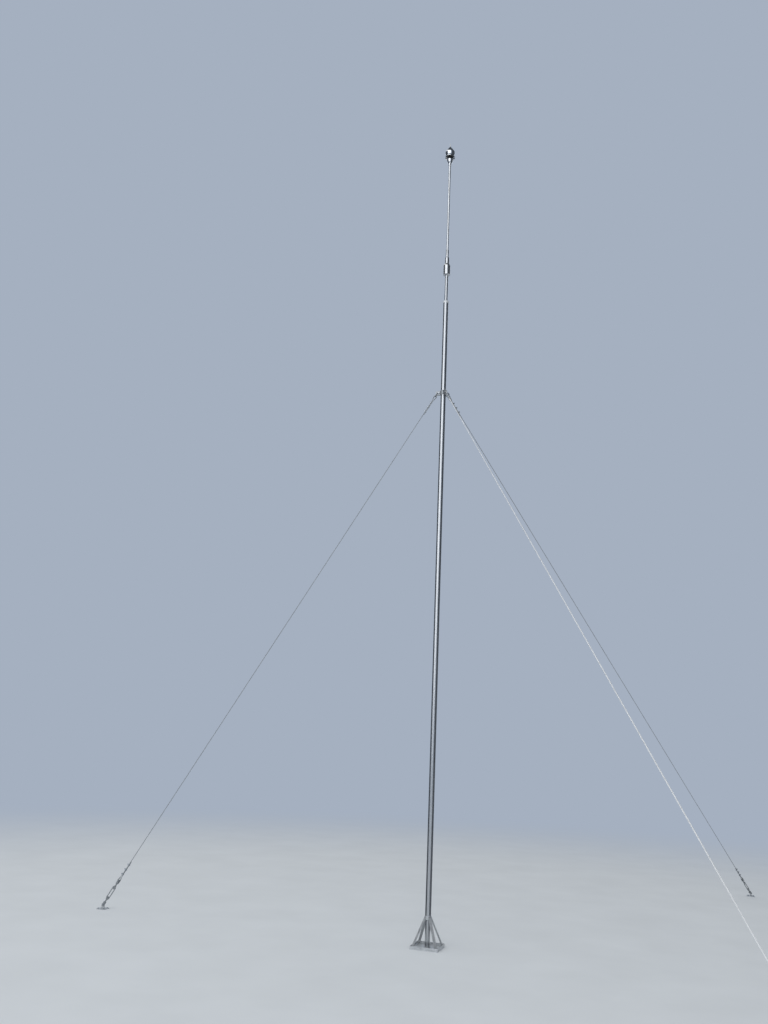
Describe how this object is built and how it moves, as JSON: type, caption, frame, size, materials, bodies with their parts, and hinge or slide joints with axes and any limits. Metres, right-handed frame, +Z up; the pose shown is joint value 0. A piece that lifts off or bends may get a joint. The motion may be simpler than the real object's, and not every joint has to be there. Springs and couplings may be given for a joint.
{
  "type": "guyed lightning rod mast",
  "caption": "Guyed lightning rod mast: braced foot, steel tube, slim rod with a bell-shaped terminal, and taut wire guys with turnbuckles and anchor plates.",
  "frame": {"origin": "middle of the foot's flat underside", "axes": "+Z up along the mast; X and Y along the sides of the square foot; the left guy runs towards -X"},
  "size_m": [6.14, 9.9626, 7.8796],
  "materials": {
    "galvanised_steel": "hot dip galvanised, weathered",
    "stainless_tube": "polished tube, fine drawn lines",
    "turned_steel": "turned, satin",
    "bright_chrome": "polished",
    "black_insulator": "moulded, half gloss",
    "wire_rope": "stranded, zinc coated"
  },
  "bodies": {
    "root": {"floor_plate": "galvanised_steel", "foot_frame": "galvanised_steel", "spigot_tube": "galvanised_steel", "socket_collar": "galvanised_steel", "front_right_brace": "galvanised_steel", "rear_right_brace": "galvanised_steel", "rear_left_brace": "galvanised_steel", "front_left_brace": "galvanised_steel", "main_tube": "stainless_tube", "top_bush": "turned_steel", "middle_tube": "stainless_tube", "coupling": "turned_steel", "reducer_sleeve": "turned_steel", "lock_collar": "turned_steel", "slim_rod": "stainless_tube", "rod_neck": "bright_chrome", "lower_cup": "bright_chrome", "insulator": "black_insulator", "bell": "bright_chrome", "needle": "bright_chrome", "right_strap": "galvanised_steel", "left_rear_strap": "galvanised_steel", "left_front_strap": "galvanised_steel", "left_shackle": "galvanised_steel", "left_guy_rope": "wire_rope", "left_upper_thimble": "galvanised_steel", "left_lower_thimble": "galvanised_steel", "left_turnbuckle_clevises": "galvanised_steel", "left_turnbuckle_body": "galvanised_steel", "left_anchor": "galvanised_steel", "rear_shackle": "galvanised_steel", "rear_guy_rope": "wire_rope", "rear_upper_thimble": "galvanised_steel", "rear_lower_thimble": "galvanised_steel", "rear_turnbuckle_clevises": "galvanised_steel", "rear_turnbuckle_body": "galvanised_steel", "rear_anchor": "galvanised_steel", "front_shackle": "galvanised_steel", "front_guy_rope": "wire_rope", "front_upper_thimble": "galvanised_steel", "front_lower_thimble": "galvanised_steel", "front_turnbuckle_clevises": "galvanised_steel", "front_turnbuckle_body": "galvanised_steel", "front_anchor": "galvanised_steel"}
  },
  "joints": []
}
